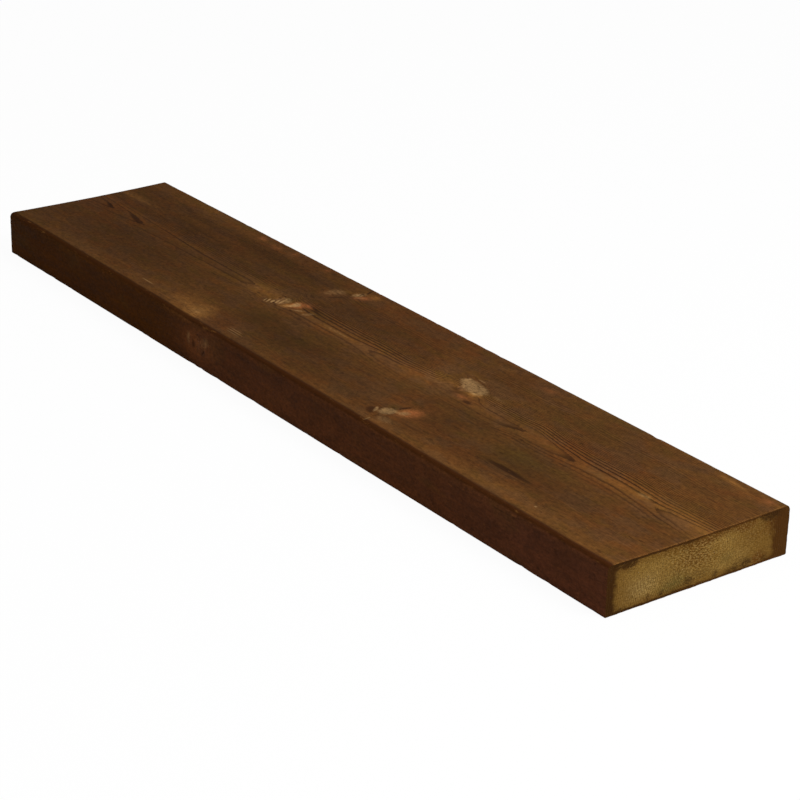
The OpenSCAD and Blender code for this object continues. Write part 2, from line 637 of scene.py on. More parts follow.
    Patch(Tint.OLIVE, 480, -18, 24, 11, 0.65),
    # Towards the far end
    Patch(Tint.AMBER, 14, 26, 26, 2.6, 0.4),
    Patch(Tint.OLIVE, 12, -17, 16, 5, 0.4),
    # Stain caught beside the back arris
    Patch(Tint.RUST, 131, 52.5, 5, 2.8, 0.5),
    Patch(Tint.RUST, 150, 50.5, 7, 3.4, 0.32),
    Patch(Tint.RUST, 167, 52.8, 4, 2.4, 0.5),
    Patch(Tint.RUST, 202, 53.8, 2.8, 1.8, 0.5),
    Patch(Tint.OLIVE, 108, 55, 12, 2.0, 0.6),
    Patch(Tint.OLIVE, 362, 54, 8, 3.0, 0.5),
    Patch(Tint.AMBER, 388, 50, 6, 2.4, 0.25),
    Patch(Tint.RUST, 424, 50, 6, 2.4, 0.25),
    Patch(Tint.OLIVE, 480, 55, 14, 2.0, 0.5),
    Patch(Tint.AMBER, 566, 53.0, 13, 1.8, 0.42, 0.2, -6),
    Patch(Tint.RUST, 592, 53, 5, 3.2, 0.35),
    # The knot in the front edge
    Patch(Tint.CREAM, 223.5, -71, 3.2, 6, 0.38, 0.3),
    Patch(Tint.CREAM, 241, -69, 8.0, 4.6, 0.4, 0.3, 30),
    Patch(Tint.RUST, 236, -72, 18, 9, 0.35),
    Patch(Tint.SHADE, 228.5, -73, 1.8, 4, 0.75, 0.5),
    Patch(Tint.SHADE, 239, -76, 3.5, 3.5, 0.6, 0.4),
)


@dataclass(frozen=True)
class Scratch:
    """A thin pale line scraped into the walking face.

    Along is X and across is the girth, both in millimetres from the middle of the walking face.
    """

    along: float
    across: float
    long: float
    wide: float
    strength: float


SCRATCHES = (
    Scratch(-143, -48.2, 8, 0.7, 0.45),
    Scratch(-45, -46.6, 8, 0.55, 0.35),
    Scratch(-44, -48.6, 10, 0.55, 0.4),
    Scratch(-43, -50.6, 9, 0.55, 0.3),
    Scratch(231, -47.6, 1.2, 0.9, 0.6),
)

END_PATCHES = (
    # Under the walking face
    Patch(Tint.SHADE, -48.0, 27.0, 9.4, 4.4, 0.95, 0.9),
    Patch(Tint.RUST, -48, 25.0, 11, 3.4, 0.6, 0.3),
    Patch(Tint.AMBER, -15, 27, 20, 6.0, 0.75),
    Patch(Tint.RUST, 2, 25.5, 16, 4.4, 0.75, 0.3),
    Patch(Tint.SHADE, -6, 26.4, 8, 2.6, 0.55, 0.3),
    Patch(Tint.RUST, 14, 27.4, 18, 3.4, 0.9, 0.3),
    Patch(Tint.RUST, 30, 26.0, 10, 5.5, 0.85, 0.3),
    Patch(Tint.SHADE, 47, 26.6, 9, 4.6, 0.9, 0.5),
    Patch(Tint.RUST, 49, 22.0, 9, 8.0, 0.8),
    Patch(Tint.SHADE, -44.5, 21.5, 5, 2.4, 0.24),
    Patch(Tint.CREAM, -54.5, 21.0, 4, 3.0, 0.3),
    # In the heart
    Patch(Tint.RUST, -4, 17, 17, 8, 0.4),
    Patch(Tint.AMBER, -2, 14, 23, 12, 0.4),
    Patch(Tint.AMBER, 36, 17, 9, 6, 0.3),
    Patch(Tint.RUST, 36, 17, 8, 6, 0.25),
    Patch(Tint.OLIVE, -14, 8, 12, 7, 0.5),
    Patch(Tint.OLIVE, 18, 10, 7, 5, 0.45),
    Patch(Tint.CREAM, -38, 10, 16, 9, 0.62),
    Patch(Tint.CREAM, 28, 10, 9, 7, 0.25),
    # Along the underside
    Patch(Tint.OLIVE, -19, 4.0, 14, 4.0, 0.5),
    Patch(Tint.RUST, -33, 2.6, 8, 2.6, 0.45),
    Patch(Tint.SHADE, -57, 7.0, 5, 10.0, 0.38),
    Patch(Tint.SHADE, -50, 1.6, 5, 2.0, 0.6, 0.3),
    Patch(Tint.SHADE, -33, 3.4, 1.5, 2.8, 0.6, 0.4),
    Patch(Tint.SHADE, -24.5, 3.0, 2.2, 2.8, 0.55, 0.4),
    Patch(Tint.SHADE, -16, 1.8, 6, 1.8, 0.35, 0.3),
    Patch(Tint.SHADE, 2, 6.5, 13, 4.6, 0.36),
    Patch(Tint.SHADE, 26, 5.2, 9, 4.4, 0.4),
    Patch(Tint.SHADE, -7, 4.4, 4.5, 3.6, 0.5, 0.3),
    Patch(Tint.SHADE, 11.5, 3.0, 2.6, 3.0, 0.5, 0.4),
    Patch(Tint.SHADE, 22, 2.0, 7, 2.2, 0.5, 0.3),
    Patch(Tint.SHADE, 32, 3.6, 4.2, 3.2, 0.6, 0.4),
    Patch(Tint.SHADE, 44, 2.4, 4, 2.4, 0.45, 0.4),
    Patch(Tint.RUST, 40, 3.8, 6, 4.2, 1.0),
)


@dataclass(frozen=True)
class SoakedRim:
    """How deep the stain has soaked in from each face, as the sawn ends show it."""

    front: float = 7.1 * MM
    back: float = 12.0 * MM
    top: float = 1.8 * MM
    bottom: float = 1.6 * MM
    noise: SmoothNoise = field(default_factory=lambda: SmoothNoise(23))

    def share(self, section: Section, points: Array) -> Array:
        """How far in a point is, as a share of the depth that the stain reached.

        The share is the smallest of the four distances, each over its face's depth. Slow noise
        makes the depth swell and shrink along the rim.

        Args:
            section: The board's section.
            points: Points on a sawn end.

        Returns:
            0 at the rim, 1 where the stain ends, and more further in.
        """
        y, z = points[:, 1], points[:, 2]
        swell = 1.0 + 0.45 * self.noise.at(points, (40 * MM, 9 * MM, 9 * MM), 2)
        shares = np.stack([
            (section.width / 2 + y) / self.front,
            (section.width / 2 - y) / self.back,
            (section.walking_height(y) - z) / self.top,
            z / self.bottom,
        ])
        return shares.min(axis=0) / swell


class Sock:
    """A shader value or its link, on which Python's operators add Math nodes."""

    def __init__(self, shader: "Shader", socket: Any) -> None:
        """Wraps an output socket of a shader's node tree."""
        self.shader = shader
        self.socket = socket

    def _math(self, operation: str, *values: Any) -> "Sock":
        """Adds a Math node of this operation on the values."""
        settings = {"operation": operation}
        return self.shader.node("ShaderNodeMath", settings, dict(enumerate(values)))

    def __add__(self, other: Any) -> "Sock":
        """Sum."""
        return self._math("ADD", self, other)

    def __radd__(self, other: Any) -> "Sock":
        """Sum, from the right."""
        return self._math("ADD", other, self)

    def __sub__(self, other: Any) -> "Sock":
        """Difference."""
        return self._math("SUBTRACT", self, other)

    def __rsub__(self, other: Any) -> "Sock":
        """Difference, from the right."""
        return self._math("SUBTRACT", other, self)

    def __mul__(self, other: Any) -> "Sock":
        """Product."""
        return self._math("MULTIPLY", self, other)

    def __rmul__(self, other: Any) -> "Sock":
        """Product, from the right."""
        return self._math("MULTIPLY", other, self)

    def __truediv__(self, other: Any) -> "Sock":
        """Quotient."""
        return self._math("DIVIDE", self, other)

    def fraction(self) -> "Sock":
        """What is left over past the whole number below."""
        return self._math("FRACT", self)

    def least(self, other: Any) -> "Sock":
        """The smaller of the two."""
        return self._math("MINIMUM", self, other)

    def most(self, other: Any) -> "Sock":
        """The larger of the two."""
        return self._math("MAXIMUM", self, other)

    def size(self) -> "Sock":
        """Distance from zero."""
        return self._math("ABSOLUTE", self)

    def step(self, low: float, high: float) -> "Sock":
        """Smooth step from 0 at low to 1 at high, or falling where high is the smaller.

        Args:
            low: Value at which the step is 0.
            high: Value at which it is 1.

        Returns:
            The stepped value.
        """
        inputs = {"Value": self, "From Min": low, "From Max": high}
        if high < low:
            inputs = {"Value": self, "From Min": high, "From Max": low, "To Min": 1.0, "To Max": 0.0}
        settings = {"interpolation_type": "SMOOTHSTEP"}
        return self.shader.node("ShaderNodeMapRange", settings, inputs)


Value = Union[Sock, float, Sequence[float]]


class Shader:
    """The node tree of a material or a world, built by calls that return wrapped sockets."""

    def __init__(self, owner: Union[bpy.types.Material, bpy.types.World]) -> None:
        """Takes over an owner's node tree and empties it.

        Args:
            owner: The material or the world.
        """
        self.owner = owner
        owner.use_nodes = True
        self.tree = owner.node_tree
        self.tree.nodes.clear()

    def node(self, kind: str, settings: dict[str, Any], inputs: dict[Any, Value],
             output: Union[int, str] = 0) -> Optional[Sock]:
        """Adds a node.

        Args:
            kind: The node's type.
            settings: Properties of the node, set first.
            inputs: Values or links of its sockets, by name or number.
            output: The output that is returned.

        Returns:
            That output, or None from a node that has no outputs.
        """
        made = self.tree.nodes.new(kind)
        for name, value in settings.items():
            setattr(made, name, value)
        for name, value in inputs.items():
            socket = made.inputs[name]
            if isinstance(value, Sock):
                self.tree.links.new(value.socket, socket)
            else:
                socket.default_value = value
        return Sock(self, made.outputs[output]) if made.outputs else None

    def attribute(self, name: str, output: str = "Fac") -> Sock:
        """Reads an attribute of the mesh."""
        return self.node("ShaderNodeAttribute", {"attribute_name": name}, {}, output)

    def axis(self, vector: Sock, number: int) -> Sock:
        """One part of a vector: 0 for X, 1 for Y and 2 for Z."""
        return self.node("ShaderNodeSeparateXYZ", {}, {0: vector}, number)

    def turned(self, vector: Sock, axis: str, degrees: float) -> Sock:
        """A vector turned by an angle about the X, Y or Z axis.

        Args:
            vector: The vector.
            axis: Letter of the axis.
            degrees: The angle.

        Returns:
            The turned vector.
        """
        settings = {"rotation_type": f"{axis}_AXIS"}
        inputs = {"Vector": vector, "Angle": math.radians(degrees)}
        return self.node("ShaderNodeVectorRotate", settings, inputs)

    def scaled(self, vector: Sock, scale: Sequence[float]) -> Sock:
        """A vector times a scale along each axis."""
        return self.vector("MULTIPLY", vector, tuple(scale))

    def noise(self, vector: Sock, scale: Sequence[float], detail: float = 2.0,
              rough: float = 0.5, twist: float = 0.0) -> Sock:
        """Noise with a number of cells a metre along each axis.

        Args:
            vector: Coordinates, in metres.
            scale: Cells a metre along X, Y and Z.
            detail: Number of finer layers.
            rough: Strength of each finer layer.
            twist: Distortion of the pattern.

        Returns:
            The noise, from 0 to 1, with 0.5 as its middle.
        """
        inputs = {"Vector": self.scaled(vector, scale), "Scale": 1.0, "Detail": detail,
                  "Roughness": rough, "Distortion": twist}
        return self.node("ShaderNodeTexNoise", {}, inputs)

    def vector(self, operation: str, *values: Value, output: Union[int, str] = 0) -> Sock:
        """Adds a Vector Math node of this operation on the vectors and returns its output."""
        settings = {"operation": operation}
        return self.node("ShaderNodeVectorMath", settings, dict(enumerate(values)), output)

    def mix(self, factor: Value, first: Value, second: Value) -> Sock:
        """Mixes two colours, where the factor is the share of the second."""
        settings = {"data_type": "RGBA", "clamp_factor": True}
        return self.node("ShaderNodeMix", settings, {0: factor, 6: first, 7: second}, 2)

    def tone(self, colour: Value, value: Sock) -> Sock:
        """A colour times a grey value."""
        grey = self.node("ShaderNodeCombineXYZ", {}, {0: value, 1: value, 2: value})
        return self.vector("MULTIPLY", colour, grey)

    def finish(self, colour: Sock, roughness: Value, height: Sock, relief: float) -> bpy.types.Material:
        """Ends the material in a principled surface with bump.

        Args:
            colour: Base colour.
            roughness: Roughness.
            height: Height of the fine relief, from 0 to 1.
            relief: Depth of the fine relief, in metres.

        Returns:
            The material.
        """
        bump = self.node("ShaderNodeBump", {}, {"Height": height, "Distance": relief, "Strength": 1.0})
        inputs = {"Base Color": colour, "Roughness": roughness, "Normal": bump,
                  "Specular IOR Level": 0.06}
        wood = self.node("ShaderNodeBsdfPrincipled", {}, inputs)
        self.node("ShaderNodeOutputMaterial", {}, {"Surface": wood})
        return self.owner


def latewood(rings: Sock) -> Sock:
    """The dark part of each growth ring: a slow rise to the ring's outer side, then a sharp end.

    The eight rings of the young tree are wide, and their dark part is a smaller share of them.

    Args:
        rings: Count of rings out from the pith.

    Returns:
        0 in the early wood and 1 at the end of the late wood.
    """
    part = rings.fraction()
    young = part.step(0.7, 0.92) * 0.75
    old = part.step(0.48, 0.8)
    is_young = rings.step(8.05, 7.95)
    return (old + (young - old) * is_young) * part.step(1.0, 0.95)


@dataclass(frozen=True)
class StainedFinish:
    """Brown stain on planed softwood: the walking face, the long edges and the underside."""

    name: str = "brown_stain"
    deep: Colour = screen(73, 44, 19)
    body: Colour = screen(90, 57, 25)
    warm: Colour = screen(106, 69, 32)
    russet: Colour = screen(99, 54, 22)
    line: Colour = screen(46, 23, 7)
    amber: Colour = screen(142, 96, 44)
    cream: Colour = screen(157, 121, 77)
    rust: Colour = screen(144, 84, 44)
    olive: Colour = screen(80, 58, 20)
    dusty: Colour = screen(86, 57, 33)
    maroon: Colour = screen(85, 45, 22)
    plum: Colour = screen(85, 45, 27)
    umber: Colour = screen(74, 36, 0)
    # Colour of the dark line along the front upper arris, a painted shadow
    painted_arris_shadow: Colour = screen(62, 29, 0)
    knot: Colour = screen(104, 66, 34)
    knot_ring: Colour = screen(74, 42, 18)
    far_cast: Colour = (1.05, 1.0, 0.88, 1.0)
    near_cast: Colour = (0.99, 1.0, 0.94, 1.0)
    # Angle of the grain inside a knot, in degrees
    knot_grain: float = 70.0
    # How much paler the wood is between the ring lines
    between: float = 0.3
    # Girths in millimetres: the middle of an upper arris, where the colour of the long edges starts
    # and how much later it does at the back, where the underside starts, and the painted shadow line
    # along the front arris
    arris_girth: float = 57.9
    edge_girth: float = 56.1
    back_delay: float = 2.8
    underside_girth: float = 90.0
    painted_arris_shadow_girth: float = -58.4
    # Half the board's length in millimetres: the fibres have lifted along the rims of the ends
    half_length: float = 300.0

    def make(self) -> bpy.types.Material:
        """Builds the material.

        The ground of the faces gives way to the colour of the long edges past the arrises. Over it
        lie the ring lines, the knots, the patches, the tone (with painted shade towards the far end and
        on the front upper arris, and a little painted light on the back one), the painted shadow line
        along the front arris and the wear, in turn. The fine relief is the fibres, sunk along the lines
        and deeper where the knots are dug out.

        Returns:
            The material.
        """
        s = Shader(bpy.data.materials.new(self.name))
        place = s.node("ShaderNodeTexCoord", {}, {}, "Object")
        grain = s.attribute("grain", "Vector")
        girth = s.attribute("girth").size()
        streaks = s.noise(grain, (38, 340, 340), 3.0, 0.65)
        fibres = s.noise(grain, (150, 1100, 1100), 2.0, 0.6)
        grit = s.noise(place, (380, 520, 520), 3.0, 0.75)
        ragged = (streaks - 0.5) * 0.8 + (grit - 0.5) * 1.2
        frayed = girth + (s.noise(place, (55, 200, 200), 3.0, 0.6) - 0.5) * 1.6 + (grit - 0.5) * 1.2
        # How near a point is to the middle of an upper arris, where shade and light are painted on below.
        turned = (frayed - self.arris_girth).size().step(2.9, 1.0)
        back = s.attribute("girth").step(0.0, 1.0)
        edge = (frayed - self.back_delay * back).step(self.edge_girth, self.edge_girth + 0.8)
        edge = edge * girth.step(self.underside_girth, self.underside_girth - 1.5)
        colour = s.mix(edge * 0.86, self.ground(s, place, grain), self.side(s, place))
        wobble = (s.noise(grain, (14, 160, 160), 2.0) - 0.5) * 0.35 + (grit - 0.5) * 0.25
        late = latewood(s.attribute("rings") + wobble)
        lines = late * s.attribute("lines")
        colour = s.tone(colour, 1.0 + self.between * s.attribute("lines") * (0.45 - late))
        colour = s.mix(lines, colour, self.line)
        colour, dug = self.knots(s, place, girth, colour)
        colour = self.patches(s, ragged, dug, colour)
        grey = (0.7 * streaks + 0.45 * fibres + 1.4 * grit - 0.26).most(0.3)
        # Round the middle of each upper arris: painted shade darkens the front one by half, and painted
        # light lifts the back one a little.
        painted_arris_shade_and_light = 1.0 - 0.5 * turned + 0.62 * turned * back
        colour = s.tone(colour, grey * s.attribute("tone") * painted_arris_shade_and_light)
        # A dark line along the front upper arris, painted as shadow
        painted_arris_shadow = (s.attribute("girth") - self.painted_arris_shadow_girth).size().step(2.2, 0.7)
        colour = s.mix(painted_arris_shadow * 0.75, colour, self.painted_arris_shadow)
        dashes = s.noise(grain, (140, 520, 520), 1.0).step(0.68, 0.76)
        colour = s.mix(dashes * 0.4, colour, self.line)
        colour = self.wear(s, place, girth, colour)
        height = 0.35 * fibres + 0.35 * streaks + 0.3 * grit - 0.3 * lines - 0.6 * dug
        roughness = 0.66 + 0.25 * streaks - 0.1 * lines
        return s.finish(colour, roughness, height, 0.4 * MM)

    def ground(self, s: Shader, place: Sock, grain: Sock) -> Sock:
        """Colour of the stained face under its lines, knots and patches.

        Args:
            s: The material.
            place: Coordinates on the board.
            grain: The same, drawn along the grain round the knots.

        Returns:
            Brown that drifts to russet, olive and dusty along the grain, and cooler at the far end.
        """
        clouds = s.noise(grain, (14, 36, 36), 4.0, 0.6)
        drift = s.noise(grain, (9, 22, 22), 3.0, 0.5)
        dabs = s.noise(grain, (60, 110, 110), 2.0, 0.55)
        dust = s.noise(grain, (50, 90, 90), 2.0, 0.55)
        colour = s.mix(clouds.step(0.3, 0.7), self.deep, self.warm)
        colour = s.mix(0.7, colour, self.body)
        for hue, strength in ((drift, 0.5), (dabs, 0.34)):
            colour = s.mix(hue.step(0.5, 0.7) * strength, colour, self.russet)
            colour = s.mix(hue.step(0.5, 0.3) * strength, colour, self.olive)
        colour = s.mix(dust.step(0.45, 0.62) * 0.6, colour, self.dusty)
        share = s.axis(place, 0).step(-0.25, 0.2)
        return s.vector("MULTIPLY", colour, s.mix(share, self.far_cast, self.near_cast))

    def patches(self, s: Shader, ragged: Sock, dug: Sock, colour: Sock) -> Sock:
        """Lays the tinted patches over a colour, with ragged rims, and what is dug out of knots.

        Args:
            s: The material.
            ragged: Noise round zero, which frays the rims.
            dug: How much is dug out along the knots' outlines and checks.
            colour: Colour of the wood below.

        Returns:
            The colour with its patches.
        """
        for tint in (Tint.OLIVE, Tint.AMBER, Tint.RUST):
            mask = s.attribute(tint.value) * (1.0 + ragged)
            colour = s.mix(mask, colour, getattr(self, tint.value))
        cream = (s.attribute(Tint.CREAM.value) * (1.0 + 0.9 * ragged)).step(0.12, 0.75)
        colour = s.mix(cream * 0.8, colour, self.cream)
        colour = s.mix(dug * 0.75 * (1.0 - 0.85 * cream), colour, self.line)
        shade = (s.attribute(Tint.SHADE.value) * (1.0 + 1.2 * ragged)).step(0.1, 0.9)
        return s.mix(shade * 0.8, colour, self.line)

    def side(self, s: Shader, place: Sock) -> Sock:
        """Colour of the long edges: umber at the far end, then maroon, and plum at the near end.

        Args:
            s: The material.
            place: Coordinates on the board.

        Returns:
            The colour, mottled and chipped.
        """
        along = s.axis(place, 0)
        low = s.axis(place, 2).step(24 * MM, 2 * MM)
        colour = s.mix(along.step(-0.12, -0.05), self.umber, self.maroon)
        colour = s.mix(along.step(0.14, 0.26), colour, self.plum)
        mottle = s.noise(place, (45, 60, 90), 4.0, 0.7)
        colour = s.tone(colour, (0.55 + 0.9 * mottle) * (1.0 + 0.24 * low))
        drift = s.noise(place, (30, 30, 60), 2.0, 0.6)
        colour = s.mix(drift.step(0.55, 0.75) * 0.25, colour, self.olive)
        chips = s.noise(place, (120, 200, 300), 3.0, 0.6).step(0.66, 0.74)
        return s.mix(chips * 0.3, colour, self.rust)

    def wear(self, s: Shader, place: Sock, girth: Sock, colour: Sock) -> Sock:
        """Lays the wear over a colour: pale flecks, worn arrises, scratches and lifted fibres.

        Args:
            s: The material.
            place: Coordinates on the board.
            girth: Way round the section from the middle of the walking face, in millimetres.
            colour: Colour of the wood below.

        Returns:
            The colour with its wear.
        """
        flecks = s.noise(place, (260, 500, 500), 3.0, 0.7).step(0.66, 0.76)
        colour = s.mix(flecks * 0.3, colour, self.amber)
        near_arris = (girth - self.arris_girth - 0.7).size().step(2.6, 0.6)
        worn = near_arris * s.noise(place, (110, 420, 420), 3.0, 0.7).step(0.6, 0.72)
        colour = s.mix(worn * 0.32, colour, self.amber)
        along = s.axis(place, 0) / MM
        across = s.attribute("girth")
        for scratch in SCRATCHES:
            reach = ((along - scratch.along) / scratch.long).size().step(1.0, 0.3)
            line = ((across - scratch.across) / scratch.wide).size().step(1.0, 0.3)
            colour = s.mix(reach * line * scratch.strength, colour, self.cream)
        rim = along.size().step(self.half_length - 1.4, self.half_length - 0.3)
        lifted = rim * s.noise(place, (200, 700, 300), 2.0).step(0.42, 0.6)
        return s.mix(lifted * 0.4 * girth.step(57.0, 56.0), colour, self.amber)

    def knots(self, s: Shader, place: Sock, girth: Sock, colour: Sock) -> tuple[Sock, Sock]:
        """Lays the knots over a colour: their own rings, their checks and their dark outline.

        Args:
            s: The material.
            place: Coordinates on the board.
            girth: Way round the section from the middle of the walking face, in millimetres.
            colour: Colour of the wood round them.

        Returns:
            The colour with the knots, and how much is dug out along their outlines and checks.
        """
        gap = s.attribute("knot_gap") / MM + (s.noise(place, (500, 500, 500), 2.0) - 0.5) * 1.2
        inside = gap.step(0.35, -0.35)
        flat = s.scaled(s.attribute("knot_place", "Vector"), (1.0, 1.0, 0.0))
        hub = s.vector("LENGTH", flat, output="Value") / MM
        swirl = s.noise(place, (240, 240, 240), 2.0) - 0.5
        rings = (hub * 0.85 + swirl * 1.4).fraction()
        stripes = s.noise(s.turned(place, "Z", self.knot_grain), (110, 620, 300), 2.0, 0.6)
        spoke = s.noise(s.vector("NORMALIZE", flat), (2.6, 2.6, 0.0), 3.0, 0.6)
        check = (spoke - 0.5) * (spoke - 0.5)
        check = check.step(0.0007, 0.0001) * hub.step(0.6, 1.6) * inside
        grain = s.noise(place, (900, 900, 900), 3.0, 0.7)
        heart = s.mix(s.attribute("knot_pale"), self.knot, self.cream)
        heart = s.mix(rings.step(0.45, 0.95) * 0.35, heart, self.knot_ring)
        heart = s.tone(heart, 0.3 + 0.6 * grain + 0.75 * stripes)
        colour = s.mix(inside * (0.8 - 0.6 * girth.step(57.0, 61.0)), colour, heart)
        broken = s.noise(place, (150, 150, 150), 3.0).step(0.46, 0.62)
        outline = (gap * gap).step(0.9, 0.1) * broken
        return colour, outline.most(check * 0.4)


@dataclass(frozen=True)
class SawnFinish:
    """Sawn end grain: pale heart, and a brown rim as deep as the stain has soaked in."""

    name: str = "sawn_end"
    core: Colour = screen(152, 117, 54)
    light: Colour = screen(168, 131, 66)
    dull: Colour = screen(124, 91, 38)
    rim: Colour = screen(63, 35, 9)
    far_rim: Colour = screen(80, 47, 13)
    line: Colour = screen(92, 62, 26)
    amber: Colour = screen(112, 75, 24)
    cream: Colour = screen(165, 135, 80)
    rust: Colour = screen(104, 62, 24)
    olive: Colour = screen(106, 92, 44)
    shade: Colour = screen(64, 39, 12)
    speck: Colour = screen(84, 50, 4)
    fibre: Colour = screen(180, 146, 86)
    # Angle of the torn fibres on the end, in degrees
    lean: float = 14.0

    def make(self) -> bpy.types.Material:
        """Builds the material.

        Over the pale wood lie its tints, the ring lines, the grit, the torn fibres, the soaked rim
        and the shade, in turn. The fine relief is the torn wood, sunk a little along the lines.

        Returns:
            The material.
        """
        s = Shader(bpy.data.materials.new(self.name))
        place = s.node("ShaderNodeTexCoord", {}, {}, "Object")
        clouds = s.noise(place, (20, 70, 110), 3.0, 0.6)
        colour = s.mix(clouds.step(0.3, 0.7), self.dull, self.light)
        colour = s.mix(0.5, colour, self.core)
        torn = s.noise(place, (200, 420, 900), 3.0, 0.65, 0.6)
        specks = s.noise(place, (700, 760, 900), 2.0, 0.65)
        ragged = (torn - 0.5) * 2.0 + (specks - 0.5) * 1.4
        for tint in (Tint.OLIVE, Tint.AMBER, Tint.RUST, Tint.CREAM):
            mask = (s.attribute(tint.value) * (1.0 + ragged)).step(0.05, 0.95)
            colour = s.mix(mask, colour, getattr(self, tint.value))
        wobble = (s.noise(place, (50, 260, 260), 2.0) - 0.5) * 0.7
        lines = latewood(s.attribute("rings") + wobble)
        colour = s.mix(lines * 0.16, colour, self.line)
        heart = (s.attribute(Tint.RUST.value) + s.attribute(Tint.AMBER.value)).least(1.0)
        grit = 0.7 * torn + 1.7 * specks - 1.2
        colour = s.tone(colour, 1.12 + grit * (0.8 + 0.4 * heart))
        colour = self.torn_fibres(s, place, clouds, heart, colour)
        colour = self.soaked_rim(s, place, colour)
        shade = (s.attribute(Tint.SHADE.value) * (1.0 + 1.3 * ragged)).step(0.1, 0.85)
        colour = s.mix(shade * 0.9, colour, self.shade)
        height = 0.6 * torn + 0.4 * specks - 0.25 * lines
        return s.finish(colour, 0.8 + 0.15 * torn, height, 0.5 * MM)

    def torn_fibres(self, s: Shader, place: Sock, clouds: Sock, heart: Sock, colour: Sock) -> Sock:
        """Lays the open pores, furrows and fibre ends that the saw left over a colour.

        Args:
            s: The material.
            place: Coordinates on the board.
            clouds: Slow noise, which gathers the furrows and pits.
            heart: Share of the darker heart, where dark and pale fibres stand out most.
            colour: Colour of the wood below.

        Returns:
            The colour with its torn fibres.
        """
        coarse = s.noise(place, (760, 900, 1000), 2.0, 0.6)
        dashes = s.noise(s.turned(place, "X", self.lean), (400, 620, 1550), 1.0, 0.5)
        dark = (coarse.step(0.48, 0.4) * 0.5).most(dashes.step(0.54, 0.59))
        bright = (coarse.step(0.58, 0.68) * 0.6).most(dashes.step(0.45, 0.4))
        colour = s.mix(dark * (0.18 + 0.8 * heart), colour, self.speck)
        colour = s.mix(bright * (0.14 + 0.62 * heart), colour, self.fibre)
        wavy = s.noise(place, (300, 430, 760), 1.0, 0.5, 1.4) - 0.5
        furrows = (wavy * wavy).step(0.0016, 0.0) * clouds.step(0.35, 0.6)
        pits = s.noise(place, (600, 800, 1100), 1.0, 0.5).step(0.6, 0.7) * clouds.step(0.4, 0.6)
        return s.mix(furrows.most(pits * 1.4) * 0.55, colour, self.line)

    def soaked_rim(self, s: Shader, place: Sock, colour: Sock) -> Sock:
        """Lays the stain that soaked in from the faces over a colour, lighter towards the back.

        Args:
            s: The material.
            place: Coordinates on the board.
            colour: Colour of the wood below.

        Returns:
            The colour with its rim.
        """
        rough = s.noise(place, (300, 300, 300), 3.0, 0.6) - 0.5
        depth = s.attribute("soaked") + rough * 0.9
        colour = s.mix(depth.step(4.2, 0.9) * 0.55, colour, self.amber)
        rim = s.mix(s.axis(place, 1).step(-0.058, 0.02), self.rim, self.far_rim)
        return s.mix(depth.step(1.25, 0.65) * 0.93, colour, rim)


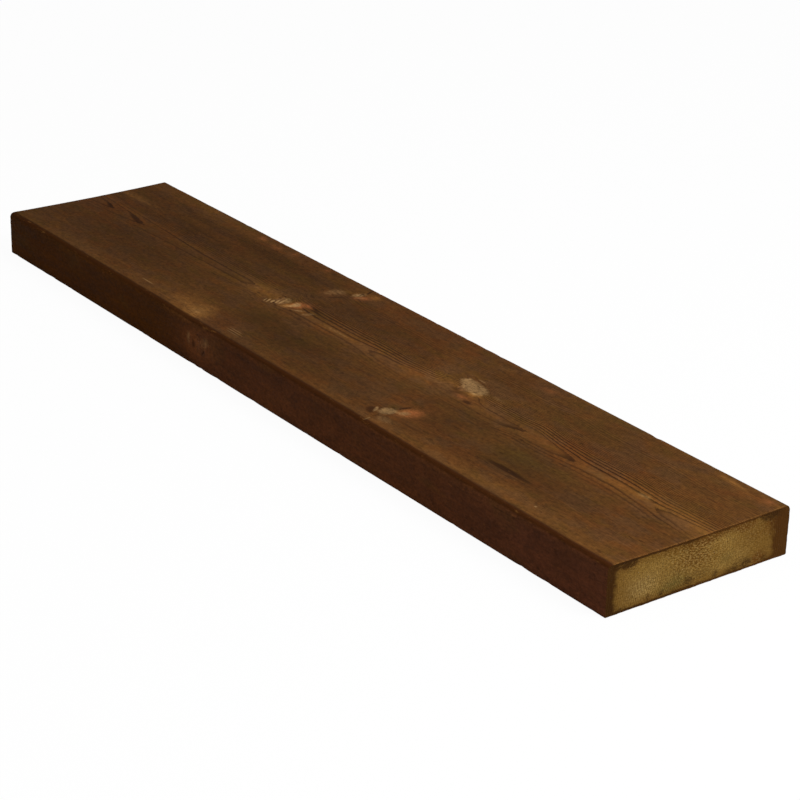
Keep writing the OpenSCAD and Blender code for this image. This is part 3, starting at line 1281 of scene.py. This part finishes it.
@dataclass
class Board:
    """The decking board: one closed surface over its whole skin and both sawn ends."""

    length: float
    width: float
    thickness: float
    columns: int = 396
    # How much closer the columns are at a knot, and how far along the board that reaches
    knot_crowding: float = 0.9
    knot_reach: float = 16 * MM
    # Depths of the relief: the frayed rims of the ends, the early wood of wide rings, the planer's
    # waves, the groove round a knot and the rough face inside it
    chamfer: float = 0.35 * MM
    ring_relief: float = 0.10 * MM
    wave_relief: float = 0.06 * MM
    groove_relief: float = 0.22 * MM
    knot_relief: float = 0.18 * MM
    # The saw marks of an end: arcs round the blade's axis, at a pitch, and torn fibres over them
    blade_axis: tuple[float, float] = (-0.35, 0.2)
    mark_pitch: float = 3.1 * MM
    mark_relief: float = 0.05 * MM
    torn_relief: float = 0.14 * MM
    nicks_an_arris: int = 26
    # How far the rims of large patches stray along and across, in millimetres
    skin_sway: tuple[float, float] = (3.5, 2.2)
    end_sway: tuple[float, float] = (2.0, 1.2)
    node: str = "decking_board"
    body: str = "root"
    slot: str = "brown_treated_softwood"

    def __post_init__(self) -> None:
        """Sets up the section, the tree inside the board and the noise of its surface."""
        self.section = Section(self.width, self.thickness)
        self.tree = Tree(self.length, float(self.section.walking_height(np.zeros(1))[0]))
        self.noise = SmoothNoise(5)

    def stations(self) -> Array:
        """Places of the columns along X.

        They are closer together where a density is high: one everywhere, more round the knots.

        Returns:
            Ascending places, with one a chamfer's width in from each end.
        """
        along = np.linspace(-self.length / 2 + self.chamfer, self.length / 2 - self.chamfer, 4001)
        density = np.ones_like(along)
        for knot in KNOTS:
            centre = knot.tip_x * MM - self.length / 2
            density += self.knot_crowding * np.exp(-(((along - centre) / self.knot_reach) ** 2))
        passed = np.concatenate([[0.0], np.cumsum((density[1:] + density[:-1]) / 2)])
        inner = np.interp(np.linspace(0, passed[-1], self.columns - 2), passed, along)
        return np.concatenate([[-self.length / 2], inner, [self.length / 2]])

    def skin(self) -> tuple[Array, Array, Array]:
        """The long surface, as the outline carried along X.

        A normal is the outline's tangent turned outwards by a quarter. The girth is the way round
        the outline to the middle of the walking face, and it is positive on the +Y side.

        Returns:
            Its points, its outward normals, and the girth at each point of the outline.
        """
        outline = self.section.outline()
        stations = self.stations()
        points = np.empty((len(stations), len(outline), 3))
        points[..., 0] = stations[:, None]
        points[..., 1:] = outline[None]
        tangent = np.roll(outline, -1, axis=0) - np.roll(outline, 1, axis=0)
        tangent /= np.linalg.norm(tangent, axis=1)[:, None]
        normals = np.zeros_like(points)
        normals[..., 1] = tangent[None, :, 1]
        normals[..., 2] = -tangent[None, :, 0]
        steps = np.linalg.norm(np.diff(outline, axis=0, append=outline[:1]), axis=1)
        travelled = np.concatenate([[0.0], np.cumsum(steps)[:-1]])
        around = steps.sum()
        top = (outline[:, 1] > self.thickness / 2) & (np.abs(outline[:, 0]) < self.section.hollow_half)
        middle = np.interp(0.0, outline[top][::-1, 0], travelled[top][::-1])
        girth = (middle - travelled + around / 2) % around - around / 2
        return points, normals, girth

    def ring_numbers(self) -> Array:
        """Numbers of the outline's points that the border of an end's grid shares.

        They run along the lowest row, up the last column, back along the highest row and down the
        first column.

        Returns:
            A number at each point of the grid, or -1 inside it.
        """
        across, up = len(self.section.bottom_curve()), len(self.section.edge_curve(1))
        numbers = np.full((up, across), -1)
        count = 2 * (across - 1) + 2 * (up - 1)
        numbers[0] = np.arange(across)
        numbers[:, -1] = across - 1 + np.arange(up)
        numbers[-1] = (across + up - 2 + np.arange(across))[::-1]
        numbers[:, 0] = (2 * across + up - 3 + np.arange(up))[::-1] % count
        return numbers

    def build(self) -> bpy.types.Object:
        """Builds the board and dresses it.

        Each end is the section's grid, whose border is the skin's first or last column of points.
        The far end's faces are turned over, so that both face outwards.

        Returns:
            The board's object.
        """
        skin, normals, girth = self.skin()
        columns, around = skin.shape[:2]
        patch = self.section.patch()
        shared = self.ring_numbers()
        inner = shared < 0
        flat = patch[inner]
        ends = [np.column_stack([np.full(len(flat), side * self.length / 2), flat]) for side in (-1, 1)]
        points = np.concatenate([skin.reshape(-1, 3), *ends])
        carved = self.carve(points, skin, normals, girth)
        faces = [self.skin_faces(columns, around)]
        for number, side in enumerate((-1, 1)):
            grid = np.where(inner, 0, shared + (columns - 1) * around * (side > 0))
            grid[inner] = columns * around + number * len(flat) + np.arange(len(flat))
            quads = np.stack([grid[:-1, :-1], grid[:-1, 1:], grid[1:, 1:], grid[1:, :-1]], axis=-1)
            faces.append(quads.reshape(-1, 4)[:, ::side])
        return self.dress(carved, points, faces, girth)

    @staticmethod
    def skin_faces(columns: int, around: int) -> Array:
        """Faces of the long surface: each joins two columns and two neighbours of the outline.

        Args:
            columns: Number of columns.
            around: Number of points round the outline.

        Returns:
            Four point numbers a face.
        """
        i = np.arange(columns - 1)[:, None] * around
        j = np.arange(around)[None]
        k = (j + 1) % around
        return np.stack([i + j, i + k, i + around + k, i + around + j], axis=-1).reshape(-1, 4)

    def carve(self, points: Array, skin: Array, normals: Array, girth: Array) -> Array:
        """Cuts the relief into the surface, always inwards, so that no point leaves the solid.

        The skin's depth is a sum: the early wood of wide rings, the planer's waves, the groove
        round each knot, the rough face inside it, and the nicks. At the rims of the ends it is the
        frayed chamfer alone. An end's depth is a cosine of the distance from the blade's axis, plus
        the torn fibres.

        Args:
            points: All points, the skin's first and then those inside each end.
            skin: The skin's points as a grid.
            normals: The skin's outward normals.
            girth: Girth at each point of the outline.

        Returns:
            The carved points.
        """
        columns, around = skin.shape[:2]
        count = columns * around
        wood = grow(self.tree, points[:count])
        rings = wood.rings.reshape(columns, around)
        turn = np.abs(np.gradient(rings, axis=1)) / np.abs(np.gradient(np.unwrap(girth, period=1e9)))
        spread = 1.0 / np.maximum(turn, 1.0)
        wide = smooth_step(3 * MM, 7 * MM, spread)
        part = rings % 1.0
        late = smooth_step(0.35, 0.9, part) * (1 - smooth_step(0.94, 1.0, part))
        depth = self.ring_relief * wide * (1.0 - late)
        waves = self.noise.at(points[:count], (60 * MM, 9 * MM, 9 * MM), 2).reshape(columns, around)
        depth += self.wave_relief * (1.0 + waves) / 2
        gap = wood.knot_gap.reshape(columns, around)
        rough = self.noise.at(points[:count] * 1.3, (4 * MM, 3 * MM, 3 * MM), 2).reshape(columns, around)
        depth += self.groove_relief * (1 - smooth_step(0.4 * MM, 1.4 * MM, np.abs(gap)))
        depth += self.knot_relief * (1 + rough) * (gap < 0)
        depth += self.nicks(skin[:, 0, 0], girth)
        frayed = self.noise.at(points[:count] * 2.1, (5 * MM, 2 * MM, 2 * MM), 2).reshape(columns, around)
        depth[[0, -1]] = self.chamfer * (0.7 + 0.5 * frayed[[0, -1]])
        carved = points.copy()
        carved[:count] -= (np.maximum(depth, 0.0)[..., None] * normals).reshape(-1, 3)
        inside = points[count:]
        radius = np.linalg.norm(inside[:, 1:] - self.blade_axis, axis=1)
        marks = 0.5 + 0.5 * np.cos(math.tau * radius / self.mark_pitch)
        torn = self.noise.at(inside * 1.7, (4 * MM, 3 * MM, 2.2 * MM), 3)
        sunk = self.mark_relief * marks + self.torn_relief * (0.5 + 0.5 * torn)
        carved[count:, 0] -= np.sign(inside[:, 0]) * np.maximum(sunk, 0.0)
        return carved

    def nicks(self, stations: Array, girth: Array) -> Array:
        """Small dents along the four arrises, each a bell along the board and round the arris.

        Args:
            stations: Places of the columns.
            girth: Girth at each point of the outline.

        Returns:
            Depth at each point of the skin's grid.
        """
        draw = np.random.default_rng(17)
        upper = self.width / 2 - 0.7 * MM
        lower = self.width / 2 + self.thickness - 2 * MM
        depth = np.zeros((len(stations), len(girth)))
        for centre in (upper, -upper, lower, -lower):
            for _ in range(self.nicks_an_arris):
                x = draw.uniform(-0.49, 0.49) * self.length
                long = draw.uniform(0.8, 4.0) * MM
                deep = draw.uniform(0.08, 0.35) * MM
                at = centre + draw.normal(0, 0.6) * MM
                bell_x = np.exp(-(((stations - x) / long) ** 2))
                bell_g = np.exp(-(((girth - at) / (1.3 * MM)) ** 2))
                depth += deep * bell_x[:, None] * bell_g[None]
        return depth

    def fields(self, points: Array, girth: Array, ends: Array) -> dict[str, Array]:
        """Everything that the finishes read, one value or vector a point.

        Each tint is one less the product of what every patch of it leaves clear.

        Args:
            points: The points before carving.
            girth: Girth of each point, where it is on the skin.
            ends: Whether each point is inside a sawn end.

        Returns:
            Values by attribute name.
        """
        wood = grow(self.tree, points)
        drift = np.stack([self.noise.at(points + k * 0.31, (22 * MM, 9 * MM, 9 * MM), 3) for k in (1, 2)])
        along, side, level = (points + (self.length / 2, 0, 0)).T / MM
        surfaces = (
            (SKIN_PATCHES, ~ends, along, girth / MM, self.skin_sway),
            (END_PATCHES, ends, side, level, self.end_sway),
        )
        clear = {tint: np.ones(len(points)) for tint in Tint}
        for patches, here, first, second, sway in surfaces:
            strayed = drift * np.array(sway)[:, None]
            for patch in patches:
                clear[patch.tint] *= np.where(here, 1.0 - patch.mask(first, second, strayed), 1.0)
        values = {tint.value: 1.0 - clear[tint] for tint in Tint}
        values["girth"] = girth / MM
        slow = self.noise.at(points + 0.7, (70 * MM, 22 * MM, 22 * MM), 3)
        share = along * MM / self.length
        # The tone rises towards the near end: partly the stain's own drift, and partly painted shade
        # standing in for the lamp's light falling off towards the far end.
        tone = (0.78 + 0.37 * share) * (1.0 + 0.07 * slow)
        values["tone"] = tone * (1.0 - values.pop(Tint.DEEP.value)) * (1.0 + values.pop(Tint.FAIR.value))
        lines = self.line_strength(points, girth / MM, share) * (1.0 - values.pop(Tint.PLAIN.value))
        values["lines"] = np.where(ends, 1.0, lines)
        values.update(vars(wood))
        values["soaked"] = SoakedRim().share(self.section, points)
        return values

    def line_strength(self, points: Array, girth: Array, share: Array) -> Array:
        """How strongly the ring lines show on the skin.

        They are faint in front of the middle, rise to full strength in two steps behind it and
        weaken again towards the back arris. At the far end they weaken sooner.

        Args:
            points: The points before carving.
            girth: Girth of each point, in millimetres.
            share: How far each point is along the board, from 0 at the far end to 1.

        Returns:
            Values from about 0 to 1.
        """
        strength = 0.15 + 0.4 * smooth_step(-9.0, -4.0, girth) + 0.45 * smooth_step(-2.0, 3.0, girth)
        strength *= 1.0 - 0.6 * smooth_step(16.0, 28.0, girth)
        strength *= 1.0 - 0.5 * smooth_step(10.0, 13.0, girth) * smooth_step(0.45, 0.38, share)
        return strength * (0.85 + 0.25 * self.noise.at(points + 1.3, (120 * MM, 20 * MM, 20 * MM), 2))

    def dress(self, carved: Array, points: Array, faces: list[Array], girth: Array) -> bpy.types.Object:
        """Makes the object from its points and faces, with its attributes and finishes.

        Args:
            carved: The points to build with.
            points: The same points before carving.
            faces: Faces of the skin, the far end and the near end.
            girth: Girth at each point of the outline.

        Returns:
            The object, riding on the board's body.
        """
        mesh = bpy.data.meshes.new("board")
        quads = np.concatenate(faces)
        mesh.vertices.add(len(carved))
        mesh.vertices.foreach_set("co", carved.ravel())
        mesh.loops.add(quads.size)
        mesh.loops.foreach_set("vertex_index", quads.ravel())
        mesh.polygons.add(len(quads))
        mesh.polygons.foreach_set("loop_start", np.arange(0, quads.size, 4))
        mesh.update(calc_edges=True)
        mesh.polygons.foreach_set("use_smooth", np.ones(len(quads), dtype=bool))
        finish = np.repeat([0, 1, 1], [len(part) for part in faces])
        mesh.polygons.foreach_set("material_index", finish)
        around = len(girth)
        columns = (faces[0].max() + 1) // around
        edges = np.empty(2 * len(mesh.edges), dtype=int)
        mesh.edges.foreach_get("vertices", edges)
        first, second = edges.reshape(-1, 2).T
        same = first // around == second // around
        rim = same & np.isin(first // around, (0, columns - 1)) & (second < columns * around)
        sharp = mesh.attributes.new("sharp_edge", "BOOLEAN", "EDGE")
        sharp.data.foreach_set("value", rim & (first < columns * around))
        ends = np.arange(len(points)) >= columns * around
        everywhere = np.concatenate([np.tile(girth, columns), np.zeros(ends.sum())])
        for name, values in self.fields(points, everywhere, ends).items():
            kind, key = ("FLOAT_VECTOR", "vector") if values.ndim == 2 else ("FLOAT", "value")
            mesh.attributes.new(name, kind, "POINT").data.foreach_set(key, values.ravel())
        mesh.materials.append(StainedFinish(half_length=self.length / 2 / MM).make())
        mesh.materials.append(SawnFinish().make())
        piece = bpy.data.objects.new("softwood_board", mesh)
        bpy.context.scene.collection.objects.link(piece)
        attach(piece, self.body)
        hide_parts(self.node)
        return piece


@dataclass
class Studio:
    """A pale floor under soft light, and the camera."""

    horizon: float = 0.16
    zenith: float = 0.76
    key_watts: float = 16.0
    key_size: float = 0.7
    key_place: tuple[float, float, float] = (1.15, 0.35, 1.15)
    fill_watts: float = 2.5
    fill_size: float = 1.2
    fill_place: tuple[float, float, float] = (0.3, -1.7, 0.9)
    lamp_aim: tuple[float, float, float] = (0.05, 0.0, 0.0)
    floor_side: float = 12.0
    floor_bounce: Colour = (0.35, 0.35, 0.35, 1.0)
    # How much of the floor's look to the camera is plain white, and the rest takes the shadow
    floor_white: float = 0.95
    camera_place: tuple[float, float, float] = (1.0383, -0.7337, 0.5461)
    camera_sight: tuple[float, float, float] = (-0.73489, 0.54707, -0.40081)
    camera_roll: float = 1.352
    lens: float = 107.03

    def floor(self) -> bpy.types.Object:
        """Lays the floor, which the camera sees as near white, with the board's shadow kept.

        Returns:
            The floor.
        """
        s = Shader(bpy.data.materials.new("pale_floor"))
        seen = s.node("ShaderNodeLightPath", {}, {}, "Is Camera Ray")
        mirrored = s.node("ShaderNodeLightPath", {}, {}, "Is Glossy Ray")
        colour = s.mix(seen.most(mirrored), self.floor_bounce, (1.0, 1.0, 1.0, 1.0))
        matt = s.node("ShaderNodeBsdfDiffuse", {}, {"Color": colour})
        white = s.node("ShaderNodeEmission", {}, {"Strength": 1.0})
        both = s.node("ShaderNodeMixShader", {}, {0: seen * self.floor_white, 1: matt, 2: white})
        s.node("ShaderNodeOutputMaterial", {}, {"Surface": both})
        square = self.floor_side / 2 * np.array([(-1, -1, 0), (1, -1, 0), (1, 1, 0), (-1, 1, 0)])
        mesh = bpy.data.meshes.new("floor")
        mesh.from_pydata(square.tolist(), [], [(0, 1, 2, 3)])
        mesh.materials.append(s.owner)
        floor = bpy.data.objects.new("floor", mesh)
        bpy.context.scene.collection.objects.link(floor)
        return floor

    def sky(self) -> None:
        """Hangs the sky, brighter with the square of the height, and white to the camera."""
        world = bpy.data.worlds.new("studio")
        bpy.context.scene.world = world
        s = Shader(world)
        facing = s.node("ShaderNodeTexCoord", {}, {}, "Generated")
        height = s.axis(facing, 2).most(0.0)
        strength = self.horizon + (self.zenith - self.horizon) * height * height
        seen = s.node("ShaderNodeLightPath", {}, {}, "Is Camera Ray")
        glow = strength + seen * (1.0 - strength)
        light = s.node("ShaderNodeBackground", {}, {"Color": (1, 1, 1, 1), "Strength": glow})
        s.node("ShaderNodeOutputWorld", {}, {"Surface": light})

    def lamp(self, name: str, watts: float, size: float, place: Sequence[float]) -> None:
        """Hangs a square lamp that is aimed at the board.

        Args:
            name: Name of the lamp.
            watts: Its power.
            size: Its side.
            place: Where it hangs.
        """
        light = bpy.data.lights.new(name, "AREA")
        light.energy = watts
        light.size = size
        lamp = bpy.data.objects.new(name, light)
        bpy.context.scene.collection.objects.link(lamp)
        sight = Vector(self.lamp_aim) - Vector(place)
        lamp.matrix_world = Matrix.Translation(place) @ sight.to_track_quat("-Z", "Y").to_matrix().to_4x4()

    def camera(self) -> bpy.types.Object:
        """Stands the camera and makes it the scene's.

        Returns:
            The camera.
        """
        data = bpy.data.cameras.new("camera")
        data.lens = self.lens
        camera = bpy.data.objects.new("camera", data)
        bpy.context.scene.collection.objects.link(camera)
        turn = Vector(self.camera_sight).to_track_quat("-Z", "Y").to_matrix().to_4x4()
        roll = Matrix.Rotation(math.radians(self.camera_roll), 4, "Z")
        camera.matrix_world = Matrix.Translation(self.camera_place) @ turn @ roll
        bpy.context.scene.camera = camera
        return camera

    def build(self) -> None:
        """Sets up the whole studio."""
        bpy.context.scene.view_settings.view_transform = "Standard"
        self.camera()
        self.sky()
        self.lamp("key", self.key_watts, self.key_size, self.key_place)
        self.lamp("fill", self.fill_watts, self.fill_size, self.fill_place)
        self.floor()


def main() -> None:
    """Builds the studio and the board, and keeps the size of both models."""
    logging.basicConfig(level=logging.INFO, format="%(message)s")
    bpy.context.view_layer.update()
    low, high = (Vector(corner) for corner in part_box("decking_board"))
    Studio().build()
    LOG.info("studio set up")
    board = Board(*(high - low)).build()
    LOG.info("%s: %d faces", board.name, len(board.data.polygons))


if __name__ == "__main__":
    main()
